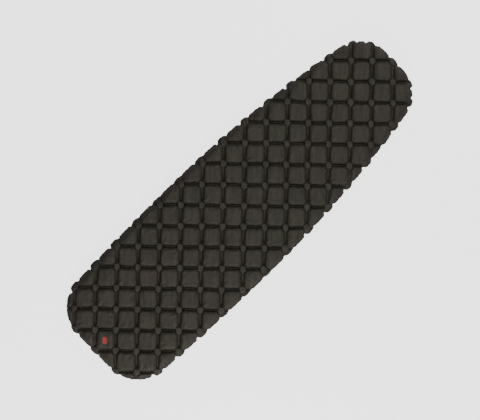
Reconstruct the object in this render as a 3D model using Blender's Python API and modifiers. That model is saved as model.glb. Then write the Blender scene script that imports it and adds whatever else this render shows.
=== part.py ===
"""Inflatable sleeping pad: two sheets welded into square cells, with a flat two-stage valve underneath.

Metres. X runs across the pad, Y along it from the head end (-Y) to the foot end (+Y), Z up.
The origin is on the ground, under the middle of the pad.
"""

import math

import bmesh
import bpy
from mathutils import Vector

# The pad
PAD_LENGTH = 1.900
PAD_WIDTH = 0.600
PAD_HEIGHT = 0.060
HEAD_WIDTH = 0.545
FOOT_WIDTH = 0.380
WIDEST_FROM_HEAD = 0.800
HEAD_CORNER_RADIUS = 0.165
FOOT_CORNER_RADIUS = 0.135
SHEET_THICKNESS = 0.0005

# The square cells lie corner to corner along the pad, between short weld bars
CELL_DIAGONAL = 0.1345
WALL_REACH = 0.016
PUFF_RISE = 0.014
RIM_REACH = 0.030

# The mark on the top sheet
MARK_WIDTH = 0.024
MARK_LENGTH = 0.030
MARK_THICKNESS = 0.0003
MARK_CORNER_RADIUS = 0.005
MARK_FROM_HEAD = 0.076

# The valve, in its own frame: +Z points out of the pad, and 0 is the bottom sheet's outer face
VALVE_FROM_HEAD = 0.210
VALVE_FROM_MIDDLE = 0.134
VALVE_GROUND_CLEARANCE = 0.012
BORE_RADIUS = 0.017
COLLAR_WALL = 0.003
COLLAR_DEPTH = 0.007
COLLAR_STANDOUT = 0.0036
COLLAR_LIP = 0.0009
COLLAR_LIP_HEIGHT = 0.0006
FLANGE_THICKNESS = 0.0012
FLANGE_MARGIN = 0.0004
CAGE_DEPTH = 0.0075
CAGE_WALL = 0.0020
CAGE_FLOOR = 0.0012
CAGE_WINDOW_WIDTH = 0.012
CAGE_WINDOW_COUNT = 6
CAGE_HOLE_RADIUS = 0.0036
TETHER_WIDTH = 0.0023
STRAP_THICKNESS = 0.0012
STRAP_WIDTH = 0.010
STRAP_REACH = 0.0034
PLUG_FLANGE_OVERLAP = 0.0012
PLUG_DEPTH = 0.0065
PLUG_GAP = 0.0004
THROAT_RADIUS = 0.0115
SEAT_THICKNESS = 0.0015
FLOW_HOLE_RADIUS = 0.0024
FLOW_HOLE_COUNT = 6
STUD_RADIUS = 0.0012
STUD_HEAD_RADIUS = 0.0027
STUD_HEAD_THICKNESS = 0.0008
FLAP_THICKNESS = 0.0008
FLAP_MARGIN = 0.0008
FLAP_TRAVEL = 0.0020
CAP_OVERLAP = 0.0030
CAP_THICKNESS = 0.0016
CAP_LIP_DEPTH = 0.0044
CAP_LIP_WALL = 0.0014
SEAL_RADIUS = 0.0006
TAB_WIDTH = 0.009
TAB_LENGTH = 0.006
PLUG_TAB_HEADING = math.radians(135)

# Clearances: between pieces that touch, and for a plug that swings out of its bore
FIT_GAP = 0.0003
# What the film that bonds the two sheets takes up along the weld lines
WELD_GAP = 0.0009
SWING_GAP = 0.0002

MERGE = 0.00001
ROUND_STEPS = 32
SMALL_STEPS = 20
HOLE_STEPS = 12
SEAL_STEPS = 8
TAB_END_STEPS = 6
CORNER_STEPS = 8
SIDE_STEPS = 6
MARK_CORNER_STEPS = 4


# Scene, materials and small helpers

def clear_scene():
    for obj in list(bpy.data.objects):
        bpy.data.objects.remove(obj, do_unlink=True)


def new_collection(name):
    collection = bpy.data.collections.new(name)
    bpy.context.scene.collection.children.link(collection)
    return collection


def make_material(name, color, roughness):
    material = bpy.data.materials.new(name)
    material.use_nodes = True
    shader = material.node_tree.nodes["Principled BSDF"]
    shader.inputs["Base Color"].default_value = (*color, 1.0)
    shader.inputs["Roughness"].default_value = roughness
    shader.inputs["Metallic"].default_value = 0.0
    return material


def add_object(name, data, material=None, parent=None, at=(0.0, 0.0, 0.0)):
    """Put a mesh or curve in the pad's collection, at a place in its parent's frame."""
    obj = bpy.data.objects.new(name, data)
    PAD.objects.link(obj)
    if material:
        data.materials.append(material)
    obj.parent = parent
    obj.location = at
    return obj


def add_empty(name, parent, at):
    empty = bpy.data.objects.new(name, None)
    empty.empty_display_size = 0.01
    PAD.objects.link(empty)
    empty.parent = parent
    empty.location = at
    return empty


def hide_as_cutter(obj):
    """Move an object to the cutters' collection and show it as wires only."""
    PAD.objects.unlink(obj)
    CUTTERS.objects.link(obj)
    obj.display_type = "WIRE"
    obj.hide_render = True
    return obj


def combine(obj, other, operation):
    boolean = obj.modifiers.new(operation.lower(), "BOOLEAN")
    boolean.operation = operation
    boolean.solver = "EXACT"
    boolean.object = hide_as_cutter(other)


def turned(name, profile, closed, material, parent, at, steps=ROUND_STEPS):
    """Turn a profile of (radius, height) points about Z. The profile runs down its outer side."""
    mesh = bpy.data.meshes.new(name)
    count = len(profile)
    edges = [(i, i + 1) for i in range(count - 1)]
    if closed:
        edges.append((count - 1, 0))
    mesh.from_pydata([(r, 0.0, z) for r, z in profile], edges, [])
    obj = add_object(name, mesh, material, parent, at)
    screw = obj.modifiers.new("turn", "SCREW")
    screw.axis = "Z"
    screw.steps = steps
    screw.render_steps = steps
    screw.use_merge_vertices = True
    screw.merge_threshold = MERGE
    screw.use_smooth_shade = True
    return obj


def ring_profile(inner, outer, low, high):
    """A plain ring's section, as points that run down its outer side."""
    return [(outer, high), (outer, low), (inner, low), (inner, high)]


def seal_profile(radius, height):
    """The round section of a seal ring, as points that run down its outer side."""
    angles = [-2.0 * math.pi * i / SEAL_STEPS for i in range(SEAL_STEPS)]
    return [(radius + SEAL_RADIUS * math.cos(a), height + SEAL_RADIUS * math.sin(a)) for a in angles]


def extruded(name, outline, thickness, material, parent, at, turn=(0.0, 0.0, 0.0)):
    """A flat outline given half its thickness to each side of its own XY plane, then turned."""
    curve = bpy.data.curves.new(name, "CURVE")
    curve.dimensions = "2D"
    curve.fill_mode = "BOTH"
    curve.extrude = thickness / 2
    spline = curve.splines.new("POLY")
    spline.points.add(len(outline) - 1)
    for point, (x, y) in zip(spline.points, outline):
        point.co = (x, y, 0.0, 1.0)
    spline.use_cyclic_u = True
    obj = add_object(name, curve, material, parent, at)
    obj.rotation_euler = turn
    return obj


def as_mesh(obj):
    """Replace a curve object by a welded mesh object in the same place, so that it can be joined or cut."""
    bpy.context.view_layer.update()
    evaluated = obj.evaluated_get(bpy.context.evaluated_depsgraph_get())
    mesh = bpy.data.meshes.new_from_object(evaluated)
    bm = bmesh.new()
    bm.from_mesh(mesh)
    bmesh.ops.remove_doubles(bm, verts=bm.verts, dist=MERGE)
    bm.to_mesh(mesh)
    bm.free()
    name = obj.name
    matrix = obj.matrix_world.copy()
    bpy.data.objects.remove(obj, do_unlink=True)
    solid = add_object(name, mesh)
    solid.matrix_world = matrix
    return solid


def cylinder(name, radius, low, high, center, parent, at, sides=SMALL_STEPS):
    mesh = bpy.data.meshes.new(name)
    bm = bmesh.new()
    bmesh.ops.create_cone(bm, cap_ends=True, segments=sides, radius1=radius, radius2=radius,
                          depth=high - low)
    bmesh.ops.translate(bm, verts=bm.verts, vec=(center[0], center[1], (low + high) / 2))
    bm.to_mesh(mesh)
    bm.free()
    return add_object(name, mesh, None, parent, at)


def pull_tab(name, thickness, parent, at, heading):
    """A finger tab with a half round end. Its root reaches half its width into the piece it is joined to."""
    r = TAB_WIDTH / 2
    angles = [-math.pi / 2 + math.pi * i / TAB_END_STEPS for i in range(TAB_END_STEPS + 1)]
    end = [(TAB_LENGTH - r + r * math.cos(a), r * math.sin(a)) for a in angles]
    return as_mesh(extruded(name, [(-r, r), (-r, -r)] + end, thickness, None, parent, at, (0, 0, heading)))


def through_cutter(name, radius, low, high, center, parent, at, sides):
    """A drill for a wall between two heights: it stands proud of both faces."""
    proud = high - low
    return cylinder(name, radius, low - proud, high + proud, center, parent, at, sides)


def ring_places(count, radius):
    return [(radius * math.cos(2 * math.pi * i / count), radius * math.sin(2 * math.pi * i / count))
            for i in range(count)]


# The pad's outline and its cells

def half_width(along):
    """Half the pad's width at a distance from the head end, with the round corners taken off."""
    if along < WIDEST_FROM_HEAD:
        share = (WIDEST_FROM_HEAD - along) / WIDEST_FROM_HEAD
        narrowing = (PAD_WIDTH - HEAD_WIDTH) / 2
    else:
        share = (along - WIDEST_FROM_HEAD) / (PAD_LENGTH - WIDEST_FROM_HEAD)
        narrowing = (PAD_WIDTH - FOOT_WIDTH) / 2
    side = PAD_WIDTH / 2 - narrowing * share ** 2
    for radius, distance in ((HEAD_CORNER_RADIUS, along), (FOOT_CORNER_RADIUS, PAD_LENGTH - along)):
        if distance < radius:
            side -= radius - math.sqrt(max(0.0, radius ** 2 - (radius - distance) ** 2))
    return side


def outline_points():
    """The pad's outline, anticlockwise seen from above."""
    turn = [math.pi / 2 * i / CORNER_STEPS for i in range(CORNER_STEPS + 1)]
    head = [HEAD_CORNER_RADIUS * (1 - math.cos(a)) for a in turn]
    foot = [PAD_LENGTH - FOOT_CORNER_RADIUS * (1 - math.cos(a)) for a in reversed(turn)]
    breaks = [HEAD_CORNER_RADIUS, WIDEST_FROM_HEAD, PAD_LENGTH - FOOT_CORNER_RADIUS]
    sides = []
    for start, stop in zip(breaks, breaks[1:]):
        sides += [start + (stop - start) * i / SIDE_STEPS for i in range(1, SIDE_STEPS + 1)]
    stations = head + sides[:-1] + foot
    right = [Vector((half_width(s), s - PAD_LENGTH / 2, 0.0)) for s in stations]
    left = [Vector((-p.x, p.y, 0.0)) for p in reversed(right)]
    return right + left


def edge_planes(points):
    """A point on each edge of the outline, and the direction that points out of the pad there."""
    planes = []
    for start, stop in zip(points, points[1:] + points[:1]):
        run = (stop - start).normalized()
        planes.append((start, Vector((run.y, -run.x, 0.0))))
    return planes


def rim_distance(x, y, planes):
    point = Vector((x, y, 0.0))
    return min(normal.dot(start - point) for start, normal in planes)


def nearest_cell(x, y):
    """The middle of the cell nearest to a place. A weld crossing lies under the pad's own middle."""
    half = CELL_DIAGONAL / 2
    column = round(x / half)
    row = round((y / half - column - 1) / 2) * 2 + column + 1
    return column * half, row * half


def lattice_place(x, y):
    """A place as distances along the two directions of the weld lines."""
    return (x + y) / math.sqrt(2), (y - x) / math.sqrt(2)


def weld_line_distances(x, y):
    """How far a place is from the nearest weld line of each direction."""
    return [abs(p - CELL_PITCH * round(p / CELL_PITCH)) for p in lattice_place(x, y)]


def sheet_rise(x, y, planes, crown):
    """Height of a sheet over its weld level: walls up to a flat crown, and a puff at a crossing."""
    near, far = sorted(weld_line_distances(x, y))
    wall = crown * min(1.0, near / WALL_REACH)
    puff = PUFF_RISE * max(0.0, 1.0 - far / WALL_REACH)
    inward = min(1.0, max(0.0, rim_distance(x, y, planes)) / RIM_REACH)
    return (wall + puff) * math.sqrt(1.0 - (1.0 - inward) ** 2)


def weld_line_grid():
    """A flat grid turned by 45 degrees, with a line on each weld line and one at each side of it."""
    reach = (PAD_LENGTH + PAD_WIDTH) / 2 / math.sqrt(2)
    cells = math.ceil(reach / CELL_PITCH)
    lines = 3 * 2 * cells
    bm = bmesh.new()
    bmesh.ops.create_grid(bm, x_segments=lines, y_segments=lines, size=cells * CELL_PITCH)
    third = CELL_PITCH / 3
    offsets = (0.0, WALL_REACH, CELL_PITCH - WALL_REACH)
    for vert in bm.verts:
        steps = [round(vert.co.x / third), round(vert.co.y / third)]
        p, q = [CELL_PITCH * (step // 3) + offsets[step % 3] for step in steps]
        vert.co = ((p - q) / math.sqrt(2), (p + q) / math.sqrt(2), 0.0)
    return bm


def build_sheet(name, up, material):
    """One sheet of the pad: the grid is cut to the outline, raised into cells and given a wall."""
    planes = edge_planes(outline_points())
    bm = weld_line_grid()
    for start, normal in planes:
        everything = bm.verts[:] + bm.edges[:] + bm.faces[:]
        bmesh.ops.bisect_plane(bm, geom=everything, dist=MERGE, plane_co=start, plane_no=normal,
                               clear_outer=True)
    bmesh.ops.remove_doubles(bm, verts=bm.verts, dist=SHEET_THICKNESS)
    weld_level = WELD_GAP / 2 + SHEET_THICKNESS
    for vert in bm.verts:
        x, y = vert.co.x, vert.co.y
        crown = PAD_HEIGHT / 2 - weld_level
        on_panel = max(abs(a - b) for a, b in zip(lattice_place(x, y), lattice_place(*VALVE_PLACE)))
        if up < 0 and on_panel < CELL_PITCH / 2:
            crown = PAD_HEIGHT / 2 - weld_level - PANEL_HEIGHT
        vert.co.z = PAD_HEIGHT / 2 + up * (weld_level + sheet_rise(x, y, planes, crown))
    bmesh.ops.triangulate(bm, faces=bm.faces, quad_method="LONG_EDGE")
    if up < 0:
        bmesh.ops.reverse_faces(bm, faces=bm.faces)
    mesh = bpy.data.meshes.new(name)
    bm.to_mesh(mesh)
    bm.free()
    sheet = add_object(name, mesh, material)
    wall = sheet.modifiers.new("wall", "SOLIDIFY")
    wall.thickness = SHEET_THICKNESS
    wall.offset = -1.0
    return sheet


def build_mark(material):
    """The small film patch on a cell at the head end, square to the weld lines."""
    x, y = nearest_cell(0.0, MARK_FROM_HEAD - PAD_LENGTH / 2)
    r = MARK_CORNER_RADIUS
    arc = [math.pi / 2 * i / MARK_CORNER_STEPS for i in range(MARK_CORNER_STEPS + 1)]
    corners = [(1, 1, 0.0), (-1, 1, math.pi / 2), (-1, -1, math.pi), (1, -1, 3 * math.pi / 2)]
    outline = []
    for sx, sy, start in corners:
        cx = sx * (MARK_WIDTH / 2 - r)
        cy = sy * (MARK_LENGTH / 2 - r)
        outline += [(cx + r * math.cos(start + a), cy + r * math.sin(start + a)) for a in arc]
    place = (x, y, PAD_HEIGHT + FIT_GAP + MARK_THICKNESS / 2)
    return extruded("head_mark", outline, MARK_THICKNESS, material, None, place, (0, 0, math.pi / 4))


# The valve

def build_valve_base(material, fabric):
    """What is welded to the bottom sheet: doubler, flanged base and the cage inside the pad."""
    doubler_top = -SHEET_THICKNESS - FIT_GAP
    doubler_low = doubler_top - SHEET_THICKNESS
    hole = COLLAR_RADIUS + FIT_GAP
    doubler = ring_profile(hole, FLANGE_RADIUS, doubler_low, doubler_top)
    turned("valve_doubler", doubler, True, fabric, VALVE, (0, 0, 0))
    flange_top = doubler_low - FIT_GAP
    flange_low = flange_top - FLANGE_THICKNESS
    lip_radius = COLLAR_RADIUS + COLLAR_LIP
    lip_low = COLLAR_STANDOUT - COLLAR_LIP_HEIGHT
    base = [(lip_radius, COLLAR_STANDOUT), (lip_radius, lip_low), (COLLAR_RADIUS, lip_low),
            (COLLAR_RADIUS, flange_top), (FLANGE_RADIUS, flange_top), (FLANGE_RADIUS, flange_low),
            (COLLAR_RADIUS, flange_low), (COLLAR_RADIUS, -COLLAR_DEPTH), (BORE_RADIUS, -COLLAR_DEPTH),
            (BORE_RADIUS, COLLAR_STANDOUT)]
    turned("valve_base", base, True, material, VALVE, (0, 0, 0))

    cage_top = -COLLAR_DEPTH - FIT_GAP
    cage_low = cage_top - CAGE_DEPTH
    floor_top = cage_low + CAGE_FLOOR
    inner = COLLAR_RADIUS - CAGE_WALL
    cup = [(0.0, floor_top), (inner, floor_top), (inner, cage_top), (COLLAR_RADIUS, cage_top),
           (COLLAR_RADIUS, cage_low), (0.0, cage_low)]
    cage = turned("anti_block_cage", cup, False, material, VALVE, (0, 0, 0))
    window_low = floor_top + CAGE_WALL / 2
    window_high = cage_top - CAGE_WALL / 2
    side = COLLAR_RADIUS + CAGE_WALL
    half = CAGE_WINDOW_WIDTH / 2
    slot = [(-side, -half), (side, -half), (side, half), (-side, half)]
    for i in range(CAGE_WINDOW_COUNT // 2):
        heading = 2 * math.pi * i / CAGE_WINDOW_COUNT
        window = extruded("cage_window_%d" % i, slot, window_high - window_low, None, VALVE,
                          (0, 0, (window_low + window_high) / 2), (0, 0, heading))
        combine(cage, as_mesh(window), "DIFFERENCE")
    for i, center in enumerate(ring_places(FLOW_HOLE_COUNT, inner - 2 * CAGE_HOLE_RADIUS)):
        drill = cylinder("cage_hole_%d" % i, CAGE_HOLE_RADIUS, cage_low - CAGE_FLOOR,
                         (floor_top + window_low) / 2, center, VALVE, (0, 0, 0), HOLE_STEPS)
        combine(cage, drill, "DIFFERENCE")


def build_tether(material):
    """The ring that snaps round the collar, and its tab under the strap's fold."""
    inner = COLLAR_RADIUS + FIT_GAP
    outer = inner + TETHER_WIDTH
    ring = ring_profile(inner, outer, 2 * FIT_GAP, TETHER_TOP)
    tether = turned("tether_ring", ring, True, material, VALVE, (0, 0, 0))
    start = inner + TETHER_WIDTH / 2
    half = STRAP_WIDTH / 2
    outline = [(start, -half), (PLUG_FOLD_X, -half), (PLUG_FOLD_X, half), (start, half)]
    middle = (0, 0, TETHER_TOP - STRAP_THICKNESS / 2)
    tab = extruded("tether_tab", outline, STRAP_THICKNESS, None, VALVE, middle)
    combine(tether, as_mesh(tab), "UNION")


def swing_radius(bore_radius, fold_distance, drop):
    """The radius that a round piece may have a drop below its fold, so that it swings out of its bore."""
    far_wall = fold_distance + bore_radius - SWING_GAP
    return math.sqrt(far_wall ** 2 - drop ** 2) - fold_distance


def build_plug(material, silicone):
    """The plug that opens for deflating, with its strap, seal, one-way flap and stud."""
    at = tuple(-c for c in PLUG_FOLD)
    flange_low = COLLAR_STANDOUT + FIT_GAP
    body_radius = BORE_RADIUS - PLUG_GAP
    foot_radius = swing_radius(BORE_RADIUS, PLUG_FOLD_X, PLUG_FOLD_Z + PLUG_DEPTH)
    groove_radius = body_radius - 2 * SEAL_RADIUS - FIT_GAP
    groove_top = COLLAR_STANDOUT - FIT_GAP
    groove_low = groove_top - 2 * SEAL_RADIUS - 2 * FIT_GAP
    seat_top = SEAT_THICKNESS - PLUG_DEPTH
    body = [(0.0, seat_top), (THROAT_RADIUS, seat_top), (THROAT_RADIUS, PLUG_TOP),
            (PLUG_FLANGE_RADIUS, PLUG_TOP), (PLUG_FLANGE_RADIUS, flange_low), (body_radius, flange_low),
            (body_radius, groove_top), (groove_radius, groove_top), (groove_radius, groove_low),
            (body_radius, groove_low), (foot_radius, -PLUG_DEPTH), (0.0, -PLUG_DEPTH)]
    plug = turned("valve_plug", body, False, material, PLUG_PIVOT, at)
    tab_root = (at[0] + PLUG_FLANGE_RADIUS * math.cos(PLUG_TAB_HEADING),
                at[1] + PLUG_FLANGE_RADIUS * math.sin(PLUG_TAB_HEADING),
                at[2] + PLUG_TOP - STRAP_THICKNESS / 2)
    tab = pull_tab("plug_tab", STRAP_THICKNESS, PLUG_PIVOT, tab_root, PLUG_TAB_HEADING)
    combine(plug, tab, "UNION")
    for i, center in enumerate(ring_places(FLOW_HOLE_COUNT, (THROAT_RADIUS + STUD_HEAD_RADIUS) / 2)):
        drill = through_cutter("flow_hole_%d" % i, FLOW_HOLE_RADIUS, -PLUG_DEPTH, seat_top, center,
                               PLUG_PIVOT, at, HOLE_STEPS)
        combine(plug, drill, "DIFFERENCE")
    stud_drill = through_cutter("stud_hole", STUD_RADIUS + FIT_GAP, -PLUG_DEPTH, seat_top, (0, 0),
                                PLUG_PIVOT, at, SMALL_STEPS)
    combine(plug, stud_drill, "DIFFERENCE")

    seal = seal_profile(body_radius - SEAL_RADIUS, (groove_top + groove_low) / 2)
    turned("plug_seal", seal, True, silicone, PLUG_PIVOT, at)

    flap_top = -PLUG_DEPTH - FIT_GAP
    flap_low = flap_top - FLAP_THICKNESS
    flap_radius = THROAT_RADIUS - FLAP_MARGIN
    flap_hole = STUD_RADIUS + FIT_GAP
    flap = ring_profile(flap_hole, flap_radius, flap_low, flap_top)
    turned("valve_flap", flap, True, silicone, PLUG_PIVOT, at)

    head_low = seat_top + FIT_GAP
    tail_top = flap_low - FLAP_TRAVEL - FIT_GAP
    stud = [(0.0, head_low + STUD_HEAD_THICKNESS), (STUD_HEAD_RADIUS, head_low + STUD_HEAD_THICKNESS),
            (STUD_HEAD_RADIUS, head_low), (STUD_RADIUS, head_low), (STUD_RADIUS, tail_top),
            (STUD_HEAD_RADIUS, tail_top), (STUD_HEAD_RADIUS, tail_top - STUD_HEAD_THICKNESS),
            (0.0, tail_top - STUD_HEAD_THICKNESS)]
    turned("flap_stud", stud, False, material, PLUG_PIVOT, at, SMALL_STEPS)

    # The strap lies folded over the tether's tab when the plug is shut
    low = TETHER_TOP + FIT_GAP
    inner = PLUG_FLANGE_RADIUS + FIT_GAP
    step = (PLUG_FOLD_X - inner) / 3
    outline = [(inner, low), (PLUG_FOLD_X, low), (PLUG_FOLD_X, low + STRAP_THICKNESS),
               (inner + step, PLUG_TOP), (inner, PLUG_TOP)]
    extruded("plug_strap", outline, STRAP_WIDTH, material, PLUG_PIVOT, at, (math.pi / 2, 0, 0))


def build_cap(material, silicone):
    """The cap over the throat, with its seal and its strap."""
    at = tuple(-c for c in CAP_FOLD)
    top = CAP_LOW + CAP_THICKNESS
    lip_radius = THROAT_RADIUS - FIT_GAP
    lip_low = CAP_LOW - CAP_LIP_DEPTH
    foot_radius = swing_radius(THROAT_RADIUS, -CAP_FOLD_X, CAP_FOLD_Z - lip_low)
    groove_radius = lip_radius - 2 * SEAL_RADIUS - FIT_GAP
    groove_top = PLUG_TOP - FIT_GAP
    groove_low = groove_top - 2 * SEAL_RADIUS - 2 * FIT_GAP
    hollow_radius = groove_radius - CAP_LIP_WALL
    body = [(0.0, top), (CAP_RADIUS, top), (CAP_RADIUS, CAP_LOW), (lip_radius, CAP_LOW),
            (lip_radius, groove_top), (groove_radius, groove_top), (groove_radius, groove_low),
            (lip_radius, groove_low), (foot_radius, lip_low), (hollow_radius, lip_low),
            (hollow_radius, CAP_LOW), (0.0, CAP_LOW)]
    cap = turned("valve_cap", body, False, material, CAP_PIVOT, at)
    tab_root = (at[0] + CAP_RADIUS, at[1], at[2] + top - STRAP_THICKNESS / 2)
    combine(cap, pull_tab("cap_tab", STRAP_THICKNESS, CAP_PIVOT, tab_root, 0.0), "UNION")
    seal = seal_profile(lip_radius - SEAL_RADIUS, (groove_top + groove_low) / 2)
    turned("cap_seal", seal, True, silicone, CAP_PIVOT, at)
    inner = -CAP_RADIUS - FIT_GAP
    outline = [(inner, CAP_LOW), (inner, top), (CAP_FOLD_X, CAP_LOW + STRAP_THICKNESS),
               (CAP_FOLD_X, CAP_LOW)]
    extruded("cap_strap", outline, STRAP_WIDTH, material, CAP_PIVOT, at, (math.pi / 2, 0, 0))


# Sizes worked out from the driving ones

CELL_PITCH = CELL_DIAGONAL / math.sqrt(2)
COLLAR_RADIUS = BORE_RADIUS + COLLAR_WALL
FLANGE_RADIUS = CELL_PITCH / 2 - WALL_REACH - FLANGE_MARGIN
TETHER_TOP = COLLAR_STANDOUT - COLLAR_LIP_HEIGHT - FIT_GAP
PLUG_FLANGE_RADIUS = COLLAR_RADIUS + PLUG_FLANGE_OVERLAP
PLUG_TOP = COLLAR_STANDOUT + FIT_GAP + STRAP_THICKNESS
PLUG_FOLD_X = COLLAR_RADIUS + FIT_GAP + TETHER_WIDTH + STRAP_REACH
PLUG_FOLD_Z = TETHER_TOP + FIT_GAP / 2
PLUG_FOLD = (PLUG_FOLD_X, 0.0, PLUG_FOLD_Z)
CAP_RADIUS = THROAT_RADIUS + CAP_OVERLAP
CAP_LOW = PLUG_TOP + FIT_GAP
# The cap folds on the side away from the plug's strap, so that it clears the pad with both open
CAP_FOLD_X = -PLUG_FLANGE_RADIUS
CAP_FOLD_Z = PLUG_TOP + FIT_GAP / 2
CAP_FOLD = (CAP_FOLD_X, 0.0, CAP_FOLD_Z)
PANEL_HEIGHT = CAP_LOW + CAP_THICKNESS + VALVE_GROUND_CLEARANCE
VALVE_PLACE = nearest_cell(VALVE_FROM_MIDDLE, VALVE_FROM_HEAD - PAD_LENGTH / 2)

# The model

clear_scene()
PAD = new_collection("sleeping_pad")
CUTTERS = new_collection("cutters")

FABRIC = make_material("coated_ripstop", (0.048, 0.044, 0.040), 0.55)
MARK_FILM = make_material("red_film", (0.55, 0.04, 0.04), 0.45)
VALVE_PLASTIC = make_material("valve_plastic", (0.035, 0.036, 0.038), 0.5)
SILICONE = make_material("silicone", (0.55, 0.55, 0.52), 0.4)

# The valve's frame is turned over, because the valve points at the ground
VALVE = add_empty("valve_frame", None, (VALVE_PLACE[0], VALVE_PLACE[1], PANEL_HEIGHT))
VALVE.rotation_euler = (math.pi, 0.0, 0.0)
PLUG_PIVOT = add_empty("plug_pivot", VALVE, PLUG_FOLD)
CAP_PIVOT = add_empty("cap_pivot", PLUG_PIVOT, [c - p for c, p in zip(CAP_FOLD, PLUG_FOLD)])
bpy.context.view_layer.update()

build_sheet("top_sheet", 1, FABRIC)
bottom_sheet = build_sheet("bottom_sheet", -1, FABRIC)
valve_hole = through_cutter("valve_hole", COLLAR_RADIUS + FIT_GAP, -SHEET_THICKNESS, 0.0, (0, 0),
                            VALVE, (0, 0, 0), ROUND_STEPS)
combine(bottom_sheet, valve_hole, "DIFFERENCE")
build_mark(MARK_FILM)
build_valve_base(VALVE_PLASTIC, FABRIC)
build_tether(VALVE_PLASTIC)
build_plug(VALVE_PLASTIC, SILICONE)
build_cap(VALVE_PLASTIC, SILICONE)
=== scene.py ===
import math

import bmesh
import bpy
import numpy as np
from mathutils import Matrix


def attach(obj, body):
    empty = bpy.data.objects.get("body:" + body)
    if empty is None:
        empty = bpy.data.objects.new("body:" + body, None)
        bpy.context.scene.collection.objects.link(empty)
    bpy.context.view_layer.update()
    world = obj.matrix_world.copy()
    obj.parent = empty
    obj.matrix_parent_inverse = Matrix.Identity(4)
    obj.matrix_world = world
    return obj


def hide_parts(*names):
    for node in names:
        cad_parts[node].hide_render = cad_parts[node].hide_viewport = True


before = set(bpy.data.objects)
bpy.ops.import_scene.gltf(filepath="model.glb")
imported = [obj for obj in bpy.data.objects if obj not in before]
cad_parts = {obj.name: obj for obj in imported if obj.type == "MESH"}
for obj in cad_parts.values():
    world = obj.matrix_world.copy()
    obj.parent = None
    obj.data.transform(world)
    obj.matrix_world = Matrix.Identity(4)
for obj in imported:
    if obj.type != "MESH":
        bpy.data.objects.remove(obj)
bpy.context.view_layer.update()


# Small tools: colours, nodes, meshes

def linearColour(hexCode):
    # each sRGB channel goes through the sRGB curve, and alpha is 1
    channels = [int(hexCode[i:i + 2], 16) / 255 for i in (1, 3, 5)]
    return [c / 12.92 if c <= 0.04045 else ((c + 0.055) / 1.055) ** 2.4 for c in channels] + [1.0]


def addNode(tree, kind, settings=None, links=None):
    # settings are the node's own properties or its sockets' values,
    # links are {socket: (node, output)}
    node = tree.nodes.new(kind)
    for key, value in (settings or {}).items():
        if isinstance(key, str) and hasattr(node, key):
            setattr(node, key, value)
        else:
            node.inputs[key].default_value = value
    for key, (source, output) in (links or {}).items():
        tree.links.new(source.outputs[output], node.inputs[key])
    return node


def newMaterial(name):
    material = bpy.data.materials.new(name)
    material.use_nodes = True
    tree = material.node_tree
    tree.nodes.clear()
    place = addNode(tree, "ShaderNodeTexCoord")
    return material, tree, place


def finishMaterial(material, tree, shader):
    addNode(tree, "ShaderNodeOutputMaterial", None, {"Surface": (shader, 0)})
    return material


def addSurface(name, points, material, wrapColumns=False, wrapRows=False, flipped=False,
               keep=None):
    # a grid of points, rows x columns x 3: each point is joined to the next in its row and in its
    # column, and keep marks the grid's faces that stay, where the surface has a hole
    rows, columns = points.shape[:2]
    index = np.arange(rows * columns).reshape(rows, columns)
    if wrapColumns:
        index = np.concatenate([index, index[:, :1]], axis=1)
    if wrapRows:
        index = np.concatenate([index, index[:1]], axis=0)
    corners = [index[:-1, :-1], index[:-1, 1:], index[1:, 1:], index[1:, :-1]]
    quads = np.stack(corners[::-1] if flipped else corners, axis=-1).reshape(-1, 4)
    points = points.reshape(-1, 3)
    if keep is not None:
        quads = quads[keep.ravel()]
        used, quads = np.unique(quads, return_inverse=True)
        points, quads = points[used], quads.reshape(-1, 4)
    mesh = bpy.data.meshes.new(name)
    mesh.vertices.add(len(points))
    mesh.vertices.foreach_set("co", points.astype(np.float32).ravel())
    mesh.loops.add(quads.size)
    mesh.loops.foreach_set("vertex_index", quads.astype(np.int32).ravel())
    mesh.polygons.add(len(quads))
    mesh.polygons.foreach_set("loop_start", np.arange(0, quads.size, 4, dtype=np.int32))
    mesh.update(calc_edges=True)
    if wrapColumns:
        # a ring of points that all lie on a pole becomes one point
        welded = bmesh.new()
        welded.from_mesh(mesh)
        bmesh.ops.remove_doubles(welded, verts=welded.verts, dist=1e-7)
        welded.to_mesh(mesh)
        welded.free()
    mesh.validate()
    mesh.polygons.foreach_set("use_smooth", np.ones(len(mesh.polygons), bool))
    obj = bpy.data.objects.new(name, mesh)
    bpy.context.scene.collection.objects.link(obj)
    obj.data.materials.append(material)
    return obj


# The pad's outline and weld lines, as they are in the CAD. Every length is in metres

padPlan = {
    "length": 1.900,
    "width": 0.600,
    "height": 0.060,
    "headWidth": 0.545,
    "footWidth": 0.380,
    "widestFromHead": 0.800,
    "headCorner": 0.165,
    "footCorner": 0.135,
    "cellDiagonal": 0.1345,  # weld line crossing to crossing, along the pad
    "barStart": 0.0238,  # from a crossing to the middle of a weld bar's round end
    "barHalfWidth": 0.0046,
    "marginWidth": 0.0055,  # flat weld round the rim
    "rimFlatness": 1.0,  # 1 gives a dome, more gives a flatter top and steeper sides
    "flatness": 3.8,
    "puffRadius": 0.0183,  # the small puff at each crossing, out to the fold round it
    "puffShare": 0.68,  # its height, as a share of what the air alone would give it
    "puffZone": (-0.001, 0.006),  # about that fold, where the puff passes into the pillow
    "foldDepth": 0.46,
    "foldWidth": 0.0019,
    "weldRounding": 0.0010,  # how softly the film leaves its weld
    "weldZone": (0.003, 0.009),  # from a weld inwards, where the film's own height takes over
    "rimZone": (0.012, 0.055),  # from the rim inwards, where the tops grow flatter
    "fieldStep": 0.0025,
    "fieldSpare": 0.01,  # how far the field reaches past the pad
    "coarseRounds": 700,
    "fineRounds": 300,
    "slopeBlur": 2,
    "riseBlur": 3,
}
pitch = padPlan["cellDiagonal"] / math.sqrt(2)
length = padPlan["length"]
midHeight = padPlan["height"] / 2


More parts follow.
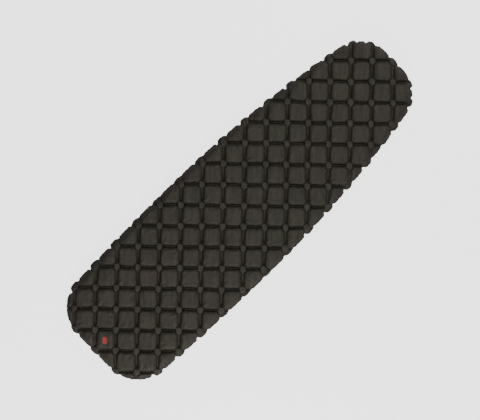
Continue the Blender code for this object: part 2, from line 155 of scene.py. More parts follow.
def sideHalf(along):
    # half the width without the corners: it narrows with the square of the way from the widest place
    widest = padPlan["widestFromHead"]
    toHead = np.clip((widest - along) / widest, 0, None)
    toFoot = np.clip((along - widest) / (length - widest), 0, None)
    return (padPlan["width"] - (padPlan["width"] - padPlan["headWidth"]) * toHead ** 2
            - (padPlan["width"] - padPlan["footWidth"]) * toFoot ** 2) / 2


def nearerEnd(along):
    # the distance to the nearer end, and the corner radius there
    isHead = along < length / 2
    radius = np.where(isHead, padPlan["headCorner"], padPlan["footCorner"])
    return np.where(isHead, along, length - along), radius


def outlineHalf(along):
    # the side's half width, less what the corner's arc takes
    end, radius = nearerEnd(along)
    inCorner = np.clip(radius - end, 0, radius)
    return sideHalf(along) - radius + np.sqrt(radius ** 2 - inCorner ** 2)


def rimDistance(x, along):
    # how far inside the outline a point is: a box with its corners rounded
    end, radius = nearerEnd(along)
    qx = np.abs(x) - (sideHalf(along) - radius)
    qy = radius - end
    outside = np.hypot(np.clip(qx, 0, None), np.clip(qy, 0, None))
    return radius - outside - np.minimum(np.maximum(qx, qy), 0)


def rimPlace(x, along):
    # arc length round the rim from the middle of the head end to the middle of the foot end
    end, radius = nearerEnd(along)
    qx = np.abs(x) - (sideHalf(along) - radius)
    qy = radius - end
    quarter = radius * math.pi / 2
    corner = radius * np.arctan2(qx, np.maximum(qy, 1e-9))
    arc = np.where(qy < 0, quarter - qy, np.where(qx < 0, qx, corner))
    whole = length - padPlan["headCorner"] - padPlan["footCorner"]
    whole += (padPlan["headCorner"] + padPlan["footCorner"]) * math.pi / 2
    return np.where(along < length / 2, arc, whole - arc)


def fromCrossing(x, along):
    # a point's place from the nearest crossing, along the two directions of weld line
    y = along - length / 2
    u, v = (x + y) / math.sqrt(2), (y - x) / math.sqrt(2)
    return u - pitch * np.round(u / pitch), v - pitch * np.round(v / pitch)


def barDistance(x, along):
    # the distance to the nearest weld bar, a strip with round ends on each weld line
    u, v = fromCrossing(x, along)
    start = padPlan["barStart"]
    onU = np.hypot(np.clip(start - np.abs(u), 0, None), v)
    onV = np.hypot(np.clip(start - np.abs(v), 0, None), u)
    return np.minimum(onU, onV) - padPlan["barHalfWidth"]


def weldDistance(x, along):
    return np.minimum(barDistance(x, along), rimDistance(x, along) - padPlan["marginWidth"])


# How high the air blows the sheets up between their welds

def smoothStep(value, low, high):
    share = np.clip((value - low) / (high - low), 0, 1)
    return share * share * (3 - 2 * share)


def bell(value, middle, halfWidth):
    # 1 at the middle, falling off on both sides as exp(-(distance / halfWidth) ^ 2)
    return np.exp(-((value - middle) / halfWidth) ** 2)


def blur(field, times):
    # each spot takes the mean of itself and its neighbours
    for _ in range(times):
        field = (field + np.roll(field, 1, 0) + np.roll(field, -1, 0)) / 3
        field = (field + np.roll(field, 1, 1) + np.roll(field, -1, 1)) / 3
    return field


def fieldPlaces(step):
    # a flat grid that covers the pad with a little to spare
    sideEdge, endEdge = padPlan["width"] / 2 + padPlan["fieldSpare"], padPlan["fieldSpare"]
    xs = np.arange(-sideEdge, sideEdge + step, step)
    alongs = np.arange(-endEdge, length + endEdge + step, step)
    return np.meshgrid(xs, alongs)


def readField(field, step, x, along):
    # reads a field between its grid points, in proportion to the four round each place
    spare = padPlan["fieldSpare"]
    fx = np.clip((x + padPlan["width"] / 2 + spare) / step, 0, field.shape[1] - 1.001)
    fy = np.clip((along + spare) / step, 0, field.shape[0] - 1.001)
    ix, iy = fx.astype(int), fy.astype(int)
    tx, ty = fx - ix, fy - iy
    low = field[iy, ix] * (1 - tx) + field[iy, ix + 1] * tx
    high = field[iy + 1, ix] * (1 - tx) + field[iy + 1, ix + 1] * tx
    return low * (1 - ty) + high * ty


def blowUp(step, start, rounds):
    # a film held at its welds and pushed by air: each spot settles at the mean of its four neighbours
    # plus the air's push
    x, along = fieldPlaces(step)
    free = weldDistance(x, along) > 0
    gain = free[1:-1, 1:-1] / 4
    film = start(x, along) * free
    for _ in range(rounds):
        around = film[:-2, 1:-1] + film[2:, 1:-1] + film[1:-1, :-2] + film[1:-1, 2:]
        film[1:-1, 1:-1] = (around + step ** 2) * gain
    return film


fineStep = padPlan["fieldStep"]
coarseFilm = blowUp(2 * fineStep, lambda x, along: np.zeros_like(x), padPlan["coarseRounds"])
film = blowUp(fineStep, lambda x, along: readField(coarseFilm, 2 * fineStep, x, along),
              padPlan["fineRounds"])
gridX, gridAlong = fieldPlaces(fineStep)
gridWeld = np.clip(weldDistance(gridX, gridAlong), 0, None)
filmSlope = blur(film, padPlan["slopeBlur"])
filmSlope = filmSlope / np.maximum(blur(gridWeld, padPlan["slopeBlur"]), 1e-6)
crownX, crownAlong = np.array([padPlan["cellDiagonal"] / 2]), np.array([length / 2])
wholeCell = float(readField(film, fineStep, crownX, crownAlong)[0])
print("air pressed into the cells: film", film.shape, "crown", round(wholeCell * 1e6), "mm2")


def rise(x, along):
    # the film's height as a share of a whole cell's crown. Beside a weld it comes from the weld's
    # exact distance, rounded off over the last millimetre, and further in from the film itself.
    # The film's level L becomes sqrt(1 - (1 - L) ^ flatness), and the fold round each crossing is
    # pressed into it
    weld = weldDistance(x, along)
    rounding = padPlan["weldRounding"]
    near = readField(filmSlope, fineStep, x, along)
    near = near * (np.sqrt(np.clip(weld, 0, None) ** 2 + rounding ** 2) - rounding)
    inside = smoothStep(weld, *padPlan["weldZone"])
    level = near * (1 - inside) + readField(film, fineStep, x, along) * inside
    inland = smoothStep(rimDistance(x, along), *padPlan["rimZone"])
    flatness = padPlan["rimFlatness"] + (padPlan["flatness"] - padPlan["rimFlatness"]) * inland
    tall = np.sqrt(1 - (1 - np.clip(level / wholeCell, 0, 1)) ** flatness)
    reach = np.hypot(*fromCrossing(x, along))
    radius, puffShare = padPlan["puffRadius"], padPlan["puffShare"]
    fold = 1 - padPlan["foldDepth"] * bell(reach, radius, padPlan["foldWidth"])
    inner, outer = padPlan["puffZone"]
    low = puffShare + (1 - puffShare) * smoothStep(reach, radius + inner, radius + outer)
    return tall * fold * low


gridRise = blur(rise(gridX, gridAlong), padPlan["riseBlur"])


# Both sheets: one grid each, drawn in and puckered round the rim

sheets = {
    "crown": 0.0296,  # a whole cell's height over the weld level
    "filmThickness": 0.0004,  # half of the welded rim's thickness
    "edgeRounding": 0.0008,
    "groundDepth": 0.0298,  # the crowns underneath are pressed level by the ground
    "groundSharpness": 24,
    "topSeed": 1.0,
    "bottomSeed": 2.0,
    "fill": 0.9,
    # the grids
    "rowStep": 0.0024,
    "topColumnStep": 0.0022,
    "bottomColumnStep": 0.0030,
    "rimColumnStep": 0.0009,
    "columnZone": (0.008, 0.045),  # from the rim inwards, where the steps grow
    "depthSamples": 3000,
    # the rim
    "earOut": 0.0055,  # the rim stands out round a crossing that lies near it
    "earHalfWidth": 0.0185,
    "crossingZone": (0.022, 0.038),  # from the rim to the crossing, where that fades
    "notchIn": 0.0075,  # and is drawn in beside it, where the weld bars meet the rim
    "notchTowardsHead": 0.35,  # more so on the side towards the head end
    "notchTurn": 0.004,
    "notchPlace": 0.0280,
    "notchHalfWidth": 0.0070,
    "notchAtEnds": 0.55,  # shallower across the ends than along the sides
    "notchAddedAtSides": 0.45,
    "notchSideZone": (0.5, 0.95),  # how squarely the rim faces sideways
    "besideShift": 0.0035,  # no two ears stand quite alike
    "besideLengths": (0.171, 0.283),
    "besideSeed": 4,
    "drawIn": 0.003,  # and a little more wherever no crown stands behind it
    "drawInLevel": 0.52,
    "drawInDepth": 0.042,
    "drawInFade": 1.5,
    "crownBehind": 0.017,  # how far inside the rim that crown is looked for
    "crownBehindLimit": -0.02,
    "ragged": 0.0012,  # small waves along the rim, in its plane
    "raggedLengths": (0.0192, 0.0297, 0.0413),
    "raggedSeed": 3,
    "rimWave": 0.0008,  # and up and down
    "rimWaveLengths": (0.0192, 0.0313, 0.0487),
    "rimWaveReach": 0.011,
    "rimWaveSeed": 5,
    "sideShift": 0.4,  # sets the two sides' waves apart
    "probe": 0.0005,
    "puckerHeight": 0.0008,
    "puckerLengths": (0.0112, 0.0163, 0.0251),
    "puckerRise": 0.006,
    "puckerReach": 0.013,
    # the waves' phases: a step for each seed and each wave, then a slow drift's size and rate
    "phaseSteps": (1.7, 2.3),
    "phaseDrift": (1.4, 9.0),
    # folds and dents round each crossing: size, count round it, how far the drift turns them
    "cornerFoldHeight": 0.0007,
    "cornerFolds": ((1, 12, 2.1), (0.6, 20, -1.7)),
    "cornerFoldPlace": 0.021,
    "cornerFoldHalfWidth": 0.009,
    "dentHeight": 0.0016,
    "dents": ((1, 5, 3.3),),
    "dentPlace": 0.036,
    "dentHalfWidth": 0.015,
    # slow waves over the pad: size, radians a metre across and along, phase, phase for each seed
    "drift": ((1, 37, 0, 0, 2), (1, 0, 29, 0, 1.3)),
    "unevenness": 0.036,
    "uneven": ((1, 31, 17, 0, 1), (1, -41, 23, 0, 2), (1, 61, 53, 0, 0)),
    "sway": 0.0016,  # how far the crowns lean
    "swayZone": 0.03,
    "swayAcross": ((1, 21, 46, 0, 0), (0.7, 33, -58, 1, 0)),
    "swayAlong": ((1, 52, -17, 2, 0), (0.7, 61, 39, 0, 0)),
}


def rowPlaces():
    # rows follow equal steps of arc round each corner, and equal steps along the sides
    head, foot, step = padPlan["headCorner"], padPlan["footCorner"], sheets["rowStep"]
    turnHead = np.linspace(0, math.pi / 2, int(head * math.pi / 2 / step))
    turnFoot = np.linspace(math.pi / 2, 0, int(foot * math.pi / 2 / step))
    straight = np.linspace(head, length - foot, int((length - head - foot) / step))
    headRows, footRows = head * (1 - np.cos(turnHead)), length - foot * (1 - np.cos(turnFoot))
    return np.concatenate([headRows, straight[1:-1], footRows])


def columnShares(columnStep):
    # across the width as -1 to 1, in steps that grow from the rim's to the middle's
    depth = np.linspace(0, padPlan["width"] / 2, sheets["depthSamples"])
    rimStep = sheets["rimColumnStep"]
    step = rimStep + (columnStep - rimStep) * smoothStep(depth, *sheets["columnZone"])
    count = np.cumsum(1 / step) * depth[1]
    places = np.interp(np.linspace(count[0], count[-1], int(count[-1])), count, depth)
    side = 1 - places / (padPlan["width"] / 2)
    side[-1] = 0
    return np.concatenate([-side, side[-2::-1]])


def waves(place, lengths, seed):
    # a sum of sine waves of the given lengths, each with its own phase and a slow drift
    forSeed, forWave = sheets["phaseSteps"]
    driftSize, driftRate = sheets["phaseDrift"]
    total = np.zeros_like(place)
    for i, wave in enumerate(lengths):
        phase = seed * forSeed + i * forWave
        drift = driftSize * np.sin(place * driftRate + phase)
        total += np.sin(2 * math.pi * place / wave + phase + drift)
    return total / len(lengths)


def ripples(x, y, terms, seed):
    # a sum of size x sin(across x + along y + phase), where the seed adds its share to the phase
    return sum(size * np.sin(across * x + lengthways * y + (phase + forSeed * seed))
               for size, across, lengthways, phase, forSeed in terms)


def roundCrossing(heading, drift, terms):
    # a sum of size x sin(count x heading + turn x drift): folds that fan out from a crossing
    return sum(size * np.sin(count * heading + turn * drift) for size, count, turn in terms)


def creased(x, along, share, seed):
    # crown x rise, made uneven by slow waves, with folds and dents that fan out from each crossing
    u, v = fromCrossing(x, along)
    reach, heading = np.hypot(u, v), np.arctan2(v, u)
    y = along - length / 2
    drift = ripples(x, y, sheets["drift"], seed)
    fold = roundCrossing(heading, drift, sheets["cornerFolds"])
    foldShare = bell(reach, sheets["cornerFoldPlace"], sheets["cornerFoldHalfWidth"])
    fold *= foldShare * np.clip(share * 2, 0, 1)
    dent = roundCrossing(heading, drift, sheets["dents"])
    dent = dent * bell(reach, sheets["dentPlace"], sheets["dentHalfWidth"]) * share
    uneven = sheets["unevenness"] * ripples(x, y, sheets["uneven"], seed) / len(sheets["uneven"])
    height = sheets["crown"] * share * (1 + uneven)
    return height + sheets["cornerFoldHeight"] * fold + sheets["dentHeight"] * dent


def rimShift(x, along, depth, side, place, outX, outY):
    # how far a point moves outwards: with the crown just inside it, out at an ear and in at a
    # notch, and less with each step inwards
    inward = np.clip(sheets["crownBehind"] - depth, sheets["crownBehindLimit"], None)
    crownInside = readField(gridRise, fineStep, x - outX * inward, along - outY * inward)
    shift = sheets["drawIn"] * (crownInside - sheets["drawInLevel"])
    shift = shift + sheets["ragged"] * waves(place, sheets["raggedLengths"], sheets["raggedSeed"])
    rimU, rimV = fromCrossing(x + outX * depth, along + outY * depth)
    across = (rimU * (outX + outY) + rimV * (outY - outX)) / math.sqrt(2)
    beside = (rimV * (outX + outY) - rimU * (outY - outX)) / math.sqrt(2)
    astray = waves(place, sheets["besideLengths"], sheets["besideSeed"])
    beside = beside + sheets["besideShift"] * astray
    near = 1 - smoothStep(np.abs(across), *sheets["crossingZone"])
    ear = sheets["earOut"] * np.exp(-(beside / sheets["earHalfWidth"]) ** 4)
    notch = bell(np.abs(beside), sheets["notchPlace"], sheets["notchHalfWidth"])
    notch = notch * (1 - sheets["notchTowardsHead"] * np.tanh(beside * side / sheets["notchTurn"]))
    sideways = smoothStep(np.abs(outX), *sheets["notchSideZone"])
    notch = notch * (sheets["notchAtEnds"] + sheets["notchAddedAtSides"] * sideways)
    shift = shift + near * (ear - sheets["notchIn"] * notch)
    return shift * np.clip(1 - depth / sheets["drawInDepth"], 0, 1) ** sheets["drawInFade"]


def sheetPoints(x, along, up, seed):
    # up is 1 for the top sheet and -1 for the bottom one. The height is the creased rise plus the
    # puckers along the rim, and each point moves out or in with the rim and leans with its crown
    side = np.where(x > 0, 1.0, -1.0)
    depth = rimDistance(x, along)
    share = rise(x, along)
    place = rimPlace(x, along) + sheets["sideShift"] * side
    y = along - length / 2

    margin = padPlan["marginWidth"]
    puckerShare = smoothStep(depth, margin, margin + sheets["puckerRise"])
    puckerShare = puckerShare * np.exp(-np.clip(depth - margin, 0, None) / sheets["puckerReach"])
    pucker = sheets["puckerHeight"] * waves(place, sheets["puckerLengths"], seed)
    height = creased(x, along, share, seed) + pucker * puckerShare
    wave = waves(place, sheets["rimWaveLengths"], sheets["rimWaveSeed"])
    wave = wave * bell(depth, 0, sheets["rimWaveReach"])
    thickness = sheets["filmThickness"] * np.sqrt(smoothStep(depth, 0, sheets["edgeRounding"]))
    z = midHeight + sheets["rimWave"] * wave + up * (thickness + np.clip(height, 0, None))

    probe = sheets["probe"]
    outX = (rimDistance(x - probe, along) - rimDistance(x + probe, along)) / (2 * probe)
    outY = (rimDistance(x, along - probe) - rimDistance(x, along + probe)) / (2 * probe)
    shift = rimShift(x, along, depth, side, place, outX, outY)
    leanX = sheets["sway"] * share * ripples(x, y, sheets["swayAcross"], seed)
    leanY = sheets["sway"] * share * ripples(x, y, sheets["swayAlong"], seed)
    inland = smoothStep(depth, 0, sheets["swayZone"])
    return x + outX * shift + leanX * inland, y + outY * shift + leanY * inland, z


def sheetGrid(columnStep):
    rows, columns = rowPlaces(), columnShares(columnStep)
    along = np.repeat(rows[:, None], len(columns), axis=1)
    return columns[None, :] * outlineHalf(along), along


# Fabric: nylon ripstop, woven with a thicker thread every few millimetres and coated with
# polyurethane. The eye gets a dull, faintly silky charcoal with a fine raised grid
ripstop = {
    "warmShade": "#4b453f",
    "oliveShade": "#49473d",
    "shadeSize": 0.11,  # broad patches, each a hand's width
    "shadeBlend": (0.38, 0.62),
    "grainSize": 1 / 420,  # 2.4 mm: the yarn's 0.1 mm is too fine to show and is drawn coarser
    "scuffAndCreaseShadeSize": 0.020,  # scuffed and stretched places, 20 mm across: lighter and darker colour for the scuffs in the coat, and painted light and shade standing in for creases catching the light
    "scuffAndCreaseShadeBlend": (0.7, 1.3),
    "scuffAndCreaseShadeDepth": 0.34,
    "threadSpacing": 0.0050,  # the thicker thread, every 5 mm
    "threadSharpness": 9.0,  # its narrowness beside its spacing
    "threadRelief": 0.00012,
    "threadStrength": 0.7,
    "tensionLineSpacing": 0.011,  # lines of pull in the cloth, 11 mm apart
    "tensionStretch": 0.16,
    "tensionRelief": 0.00045,
    "tensionStrength": 0.8,
    "roughness": 0.58,
    "roughnessRange": (-0.05, 0.07),
}


def coatedRipstop(name):
    material, tree, place = newMaterial(name)
    turned = addNode(tree, "ShaderNodeMapping", {"Rotation": (0, 0, -math.pi / 4)},
                     {"Vector": (place, "Object")})
    # a wave texture's bands are pi/10 divided by its scale apart
    bands = math.pi / 10 / ripstop["threadSpacing"]
    warp = addNode(tree, "ShaderNodeTexWave", {"bands_direction": "X", "Scale": bands},
                   {"Vector": (turned, 0)})
    weft = addNode(tree, "ShaderNodeTexWave", {"bands_direction": "Y", "Scale": bands},
                   {"Vector": (turned, 0)})
    threads = addNode(tree, "ShaderNodeMath", {"operation": "MAXIMUM"},
                      {0: (warp, "Fac"), 1: (weft, "Fac")})
    raised = addNode(tree, "ShaderNodeMath", {"operation": "POWER", 1: ripstop["threadSharpness"]},
                     {0: (threads, 0)})
    stretched = addNode(tree, "ShaderNodeMapping", {"Scale": (1.0, ripstop["tensionStretch"], 1.0)},
                        {"Vector": (turned, 0)})
    tension = addNode(tree, "ShaderNodeTexNoise",
                      {"Scale": 1 / ripstop["tensionLineSpacing"], "Detail": 3.0},
                      {"Vector": (stretched, 0)})
    patches = addNode(tree, "ShaderNodeTexNoise", {"Scale": 1 / ripstop["shadeSize"], "Detail": 1.0},
                      {"Vector": (turned, 0)})
    low, high = ripstop["shadeBlend"]
    spread = addNode(tree, "ShaderNodeMapRange", {"From Min": low, "From Max": high},
                     {"Value": (patches, "Fac")})
    shade = addNode(tree, "ShaderNodeMix",
                    {"data_type": "RGBA", 6: linearColour(ripstop["warmShade"]),
                     7: linearColour(ripstop["oliveShade"])}, {0: (spread, 0)})
    grain = addNode(tree, "ShaderNodeTexNoise", {"Scale": 1 / ripstop["grainSize"], "Detail": 2.0},
                    {"Vector": (place, "Object")})
    # blotches up to a third lighter or darker: scuffs in the coat, and painted light and shade standing
    # in for the creases on the tops
    scuffsAndPaintedCreaseShade = addNode(tree, "ShaderNodeTexNoise",
                     {"Scale": 1 / ripstop["scuffAndCreaseShadeSize"], "Detail": 3.0, "Roughness": 0.65},
                     {"Vector": (stretched, 0)})
    spots = addNode(tree, "ShaderNodeMath", {"operation": "ADD"},
                    {0: (grain, "Fac"), 1: (scuffsAndPaintedCreaseShade, "Fac")})
    low, high = ripstop["scuffAndCreaseShadeBlend"]
    lift = addNode(tree, "ShaderNodeMapRange",
                   {"From Min": low, "From Max": high, "To Min": 1 - ripstop["scuffAndCreaseShadeDepth"],
                    "To Max": 1 + ripstop["scuffAndCreaseShadeDepth"]}, {"Value": (spots, 0)})
    colour = addNode(tree, "ShaderNodeVectorMath", {"operation": "SCALE"},
                     {0: (shade, 2), "Scale": (lift, 0)})
    lines = addNode(tree, "ShaderNodeBump",
                    {"Distance": ripstop["tensionRelief"], "Strength": ripstop["tensionStrength"]},
                    {"Height": (tension, "Fac")})
    grid = addNode(tree, "ShaderNodeBump",
                   {"Distance": ripstop["threadRelief"], "Strength": ripstop["threadStrength"]},
                   {"Height": (raised, 0), "Normal": (lines, 0)})
    smoother, rougher = ripstop["roughnessRange"]
    dull = addNode(tree, "ShaderNodeMapRange",
                   {"To Min": ripstop["roughness"] + smoother,
                    "To Max": ripstop["roughness"] + rougher}, {"Value": (grain, "Fac")})
    shader = addNode(tree, "ShaderNodeBsdfPrincipled",
                     {"IOR": 1.45, "Specular IOR Level": 0.30, "Sheen Weight": 0.03,
                      "Sheen Roughness": 0.5},
                     {"Base Color": (colour, 0), "Roughness": (dull, 0), "Normal": (grid, 0)})
    return finishMaterial(material, tree, shader)


fabric = coatedRipstop("coated nylon ripstop")

topPoints = sheetPoints(*sheetGrid(sheets["topColumnStep"]), 1, sheets["topSeed"])
topSheet = addSurface("top_fabric", np.stack(topPoints, axis=-1), fabric)
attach(topSheet, "pad")
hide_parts("top_sheet")
print("top sheet:", len(topSheet.data.polygons), "faces")

# Underneath, the valve's cell is held flat by the valve's flange, and every crown rests on the ground
valvePlace = {
    "x": 0.1345,
    "along": length / 2 - 0.73975,
    "panelRise": 0.0106,
    "panelSharpness": 9,
    "holeRadius": 0.0203,
    "cutRadius": 0.0190,  # points nearer than this are cut away
}


def flattened(height, limit, sharpness):
    # a soft limit: the height follows itself while low and levels off at the limit
    return height / (1 + (height / limit) ** sharpness) ** (1 / sharpness)


underX, underAlong = sheetGrid(sheets["bottomColumnStep"])
lowX, lowY, lowZ = sheetPoints(underX, underAlong, -1, sheets["bottomSeed"])
valveU = np.abs((underX - valvePlace["x"]) + (underAlong - valvePlace["along"])) / math.sqrt(2)
valveV = np.abs((underX - valvePlace["x"]) - (underAlong - valvePlace["along"])) / math.sqrt(2)
inValveCell = np.maximum(valveU, valveV) < pitch / 2
fall = np.clip(midHeight - lowZ, 0, None)
panel = flattened(fall, valvePlace["panelRise"] + sheets["filmThickness"], valvePlace["panelSharpness"])
crowns = flattened(fall, sheets["groundDepth"], sheets["groundSharpness"])
fall = np.where(inValveCell, panel, crowns)
lowZ = np.where(lowZ < midHeight, midHeight - fall, lowZ)

# the sheet ends round the valve's collar: points inside the hole go, and the last ones left lie
# on its edge
fromValveX, fromValveY = lowX - valvePlace["x"], lowY - (valvePlace["along"] - length / 2)
reach = np.hypot(fromValveX, fromValveY)
inHole = reach < valvePlace["cutRadius"]
openFace = inHole[:-1, :-1] | inHole[1:, :-1] | inHole[:-1, 1:] | inHole[1:, 1:]
onEdge = np.zeros_like(inHole)
onEdge[1:-1, 1:-1] = openFace[:-1, :-1] | openFace[1:, :-1] | openFace[:-1, 1:] | openFace[1:, 1:]
stretch = np.where(onEdge & ~inHole, valvePlace["holeRadius"] / np.maximum(reach, 1e-6), 1) - 1
lowX, lowY = lowX + fromValveX * stretch, lowY + fromValveY * stretch
bottomSheet = addSurface("bottom_fabric", np.stack([lowX, lowY, lowZ], axis=-1), fabric,
                         flipped=True, keep=~openFace)
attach(bottomSheet, "pad")
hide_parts("bottom_sheet")
print("bottom sheet:", len(bottomSheet.data.polygons), "faces")

# The valve's reinforcing disc, inside the pad between the sheet and the valve's flange
disc = {
    "inner": 0.0204,
    "outer": 0.0311,
    "low": 0.01985,
    "thickness": 0.0004,
    "pressedRing": 0.0012,  # rings left by the welding tool, 1.2 mm apart
    "press": 0.00006,
    "sectionPoints": 40,
    "turnPoints": 72,
}
across = np.linspace(disc["inner"], disc["outer"], disc["sectionPoints"])
pressed = disc["low"] + disc["press"] * np.sin(2 * math.pi * across / disc["pressedRing"])
# its section, out along the low side and back along the high side, is carried round the valve's axis
sectionR = np.append(across, across[::-1])[:, None]
sectionZ = np.append(pressed, pressed[::-1] + disc["thickness"])[:, None]
aroundAxis = np.linspace(0, 2 * math.pi, disc["turnPoints"], endpoint=False)
discX = valvePlace["x"] + sectionR * np.cos(aroundAxis)
discY = valvePlace["along"] - length / 2 + sectionR * np.sin(aroundAxis)
discPoints = np.stack([discX, discY, sectionZ + 0 * discX], axis=-1)
valveDisc = addSurface("valve_reinforcement", discPoints, fabric, wrapColumns=True, wrapRows=True)
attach(valveDisc, "pad")
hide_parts("valve_doubler")

# Red mark: polyurethane film, cut to shape and pressed on hot. The eye gets a satin red with a
# slight orange peel
mark = {
    "width": 0.024,
    "length": 0.030,
    "along": 0.0762,  # from the head end
    "squareness": 5.0,  # 2 gives an oval, more gives squarer corners
    "proud": 0.00035,
    "tuckedUnder": 0.0002,
    "tuckedIn": 0.97,
    "rings": 14,
    "turnPoints": 96,
    "colour": "#c5403c",
    "deepColour": "#a93330",
    "peelSize": 1 / 700,  # 1.4 mm
    "peelRelief": 0.00005,
}


def pressedFilm(name):
    material, tree, place = newMaterial(name)
    peel = addNode(tree, "ShaderNodeTexNoise", {"Scale": 1 / mark["peelSize"], "Detail": 2.0},
                   {"Vector": (place, "Object")})
    tone = addNode(tree, "ShaderNodeMix", {"data_type": "RGBA", 6: linearColour(mark["colour"]),
                                           7: linearColour(mark["deepColour"])}, {0: (peel, "Fac")})
    bump = addNode(tree, "ShaderNodeBump", {"Distance": mark["peelRelief"], "Strength": 0.6},
                   {"Height": (peel, "Fac")})
    shader = addNode(tree, "ShaderNodeBsdfPrincipled", {"Roughness": 0.42, "IOR": 1.5},
                     {"Base Color": (tone, 2), "Normal": (bump, 0)})
    return finishMaterial(material, tree, shader)


# a squared-off oval, rings from its middle to its edge and down its sides, laid on the top sheet
turn = np.linspace(0, 2 * math.pi, mark["turnPoints"], endpoint=False)
power = mark["squareness"]
edge = (np.abs(np.cos(turn)) ** power + np.abs(np.sin(turn)) ** power) ** (-1 / power)
ring = np.append(np.linspace(0, 1, mark["rings"]), [1.0, mark["tuckedIn"]])[:, None]
markU = ring * edge * np.cos(turn) * mark["width"] / 2
markV = ring * edge * np.sin(turn) * mark["length"] / 2
markX = (markU - markV) / math.sqrt(2)
markAlong = mark["along"] + (markU + markV) / math.sqrt(2)
markX, markY, markZ = sheetPoints(markX, markAlong, 1, sheets["topSeed"])
lift = np.full(len(ring), mark["proud"])
lift[-2:] = -mark["tuckedUnder"]
markFilm = addSurface("red_mark", np.stack([markX, markY, markZ + lift[:, None]], axis=-1),
                      pressedFilm("pressed red film"), wrapColumns=True, flipped=True)
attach(markFilm, "pad")
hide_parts("head_mark")
print("mark laid on the head end")

# Valve body: nylon, injection-moulded in a spark-eroded mould. The eye gets a half-matt charcoal
# with a fine even grain
valveBody = {
    "dark": "#2a2b2d",
    "light": "#343537",
    "grainSize": 1 / 1600,  # 0.6 mm: the mould's 0.05 mm is too fine to show and is drawn coarser
    "grainRelief": 0.00004,
}
# Seals and flap: silicone, pressed in a polished mould. The eye gets a milky, slightly soft grey
softParts = {
    "dark": "#bdbbb2",
    "light": "#c9c7be",
    "cloudSize": 1 / 180,  # 5.6 mm
}


def mouldedPlastic(name):
    material, tree, place = newMaterial(name)
    texture = addNode(tree, "ShaderNodeTexNoise", {"Scale": 1 / valveBody["grainSize"], "Detail": 2.0},
                      {"Vector": (place, "Object")})
    tone = addNode(tree, "ShaderNodeMix", {"data_type": "RGBA", 6: linearColour(valveBody["dark"]),
                                           7: linearColour(valveBody["light"])}, {0: (texture, "Fac")})
    bump = addNode(tree, "ShaderNodeBump", {"Distance": valveBody["grainRelief"], "Strength": 0.5},
                   {"Height": (texture, "Fac")})
    shader = addNode(tree, "ShaderNodeBsdfPrincipled", {"Roughness": 0.46, "IOR": 1.53},
                     {"Base Color": (tone, 2), "Normal": (bump, 0)})
    return finishMaterial(material, tree, shader)


def mouldedSilicone(name):
    material, tree, place = newMaterial(name)
    cloud = addNode(tree, "ShaderNodeTexNoise", {"Scale": 1 / softParts["cloudSize"], "Detail": 2.0},
                    {"Vector": (place, "Object")})
    tone = addNode(tree, "ShaderNodeMix", {"data_type": "RGBA", 6: linearColour(softParts["dark"]),
                                           7: linearColour(softParts["light"])}, {0: (cloud, "Fac")})
    shader = addNode(tree, "ShaderNodeBsdfPrincipled",
                     {"Roughness": 0.38, "IOR": 1.43, "Subsurface Weight": 0.15,
                      "Subsurface Scale": 0.002},
                     {"Base Color": (tone, 2)})
    return finishMaterial(material, tree, shader)


valvePlastic = mouldedPlastic("spark-textured nylon")
silicone = mouldedSilicone("moulded silicone")
valveFinish = {
    "valve_base": valvePlastic,
    "anti_block_cage": valvePlastic,
    "tether_ring": valvePlastic,
    "plug_strap": valvePlastic,
    "valve_plug": valvePlastic,
    "flap_stud": valvePlastic,
    "cap_strap": valvePlastic,
    "valve_cap": valvePlastic,
    "plug_seal": silicone,
    "valve_flap": silicone,
    "cap_seal": silicone,
}
for nodeName, material in valveFinish.items():
    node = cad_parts[nodeName]
    node.data.materials.clear()
    node.data.materials.append(material)
print("valve finished:", len(valveFinish), "pieces")

# Floor, lights and camera
studio = {
    "floorSize": 60.0,
    "floorDrop": 0.0004,  # just under the lowest crowns
    "floorShade": "#f4f4f2",
    "floorLight": "#f7f7f5",
    "fibreSize": 1 / 6,
    "worldStrength": 0.07,  # what the sky gives the pad
    "skySeen": 2.6,  # what the eye sees of it
    "floorGlow": 2.4,
    "headLight": {"at": (2.3, -2.1, 1.9), "aim": (0, -0.3, 0), "size": 1.0, "power": 56.0},
    "footLight": {"at": (-0.9, 3.0, 1.8), "aim": (0, 0.5, 0), "size": 1.0, "power": 30.0},
    "topLight": {"at": (0.0, 0.0, 7.5), "aim": (0, 0, 0), "size": 2.0, "power": 116.0},
    "cameraOver": (0.0014, -0.0260),
    "cameraHeight": 6.086,
    "cameraTurn": 45.93,
    "lens": 100.0,
}


def seenWhite(tree, seen, other):
    # one strength where the eye looks straight at it, another for the light it throws on the pad
    path = addNode(tree, "ShaderNodeLightPath")
    return addNode(tree, "ShaderNodeMapRange", {"To Min": other, "To Max": seen},
                   {"Value": (path, "Is Camera Ray")})


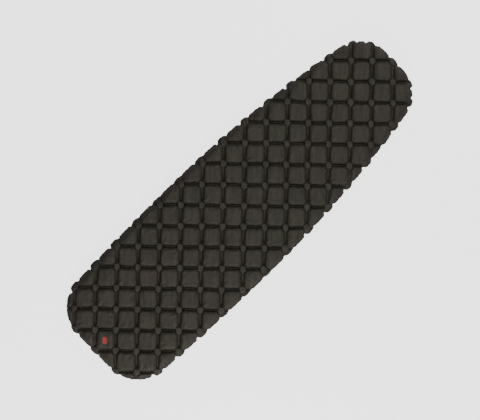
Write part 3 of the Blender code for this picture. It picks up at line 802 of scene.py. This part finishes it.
def seamlessPaper(name):
    # matt paper: the eye gets an even white with no grain of its own
    material, tree, place = newMaterial(name)
    fibre = addNode(tree, "ShaderNodeTexNoise", {"Scale": 1 / studio["fibreSize"], "Detail": 2.0},
                    {"Vector": (place, "Object")})
    tone = addNode(tree, "ShaderNodeMix", {"data_type": "RGBA", 6: linearColour(studio["floorShade"]),
                                           7: linearColour(studio["floorLight"])}, {0: (fibre, "Fac")})
    glow = seenWhite(tree, studio["floorGlow"], 0.0)
    shader = addNode(tree, "ShaderNodeBsdfPrincipled",
                     {"Roughness": 0.9, "Emission Color": (1, 1, 1, 1)},
                     {"Base Color": (tone, 2), "Emission Strength": (glow, 0)})
    return finishMaterial(material, tree, shader)


half = studio["floorSize"] / 2
floorX, floorY = np.meshgrid([-half, half], [-half, half])
floorPoints = np.stack([floorX, floorY, np.full((2, 2), -studio["floorDrop"])], axis=-1)
floor = addSurface("floor", floorPoints, seamlessPaper("seamless paper"))


def addSoftLight(name, light):
    data = bpy.data.lights.new(name, "AREA")
    data.shape = "SQUARE"
    data.size = light["size"]
    data.energy = light["power"]
    lamp = bpy.data.objects.new(name, data)
    bpy.context.scene.collection.objects.link(lamp)
    away = np.array(light["at"]) - np.array(light["aim"])
    lamp.location = light["at"]
    tilt = math.acos(away[2] / np.linalg.norm(away))
    lamp.rotation_euler = (tilt, 0, math.atan2(away[1], away[0]) + math.pi / 2)


addSoftLight("head light", studio["headLight"])
addSoftLight("foot light", studio["footLight"])
addSoftLight("top light", studio["topLight"])

world = bpy.data.worlds.new("studio")
bpy.context.scene.world = world
world.use_nodes = True
world.node_tree.nodes.clear()
skyGlow = seenWhite(world.node_tree, studio["skySeen"], studio["worldStrength"])
sky = addNode(world.node_tree, "ShaderNodeBackground", {"Color": (1, 1, 1, 1)},
              {"Strength": (skyGlow, 0)})
addNode(world.node_tree, "ShaderNodeOutputWorld", None, {"Surface": (sky, 0)})

lens = bpy.data.cameras.new("camera")
lens.lens = studio["lens"]
camera = bpy.data.objects.new("camera", lens)
bpy.context.scene.collection.objects.link(camera)
camera.location = (*studio["cameraOver"], studio["cameraHeight"])
camera.rotation_euler = (0, 0, math.radians(studio["cameraTurn"]))
bpy.context.scene.camera = camera
print("studio set")
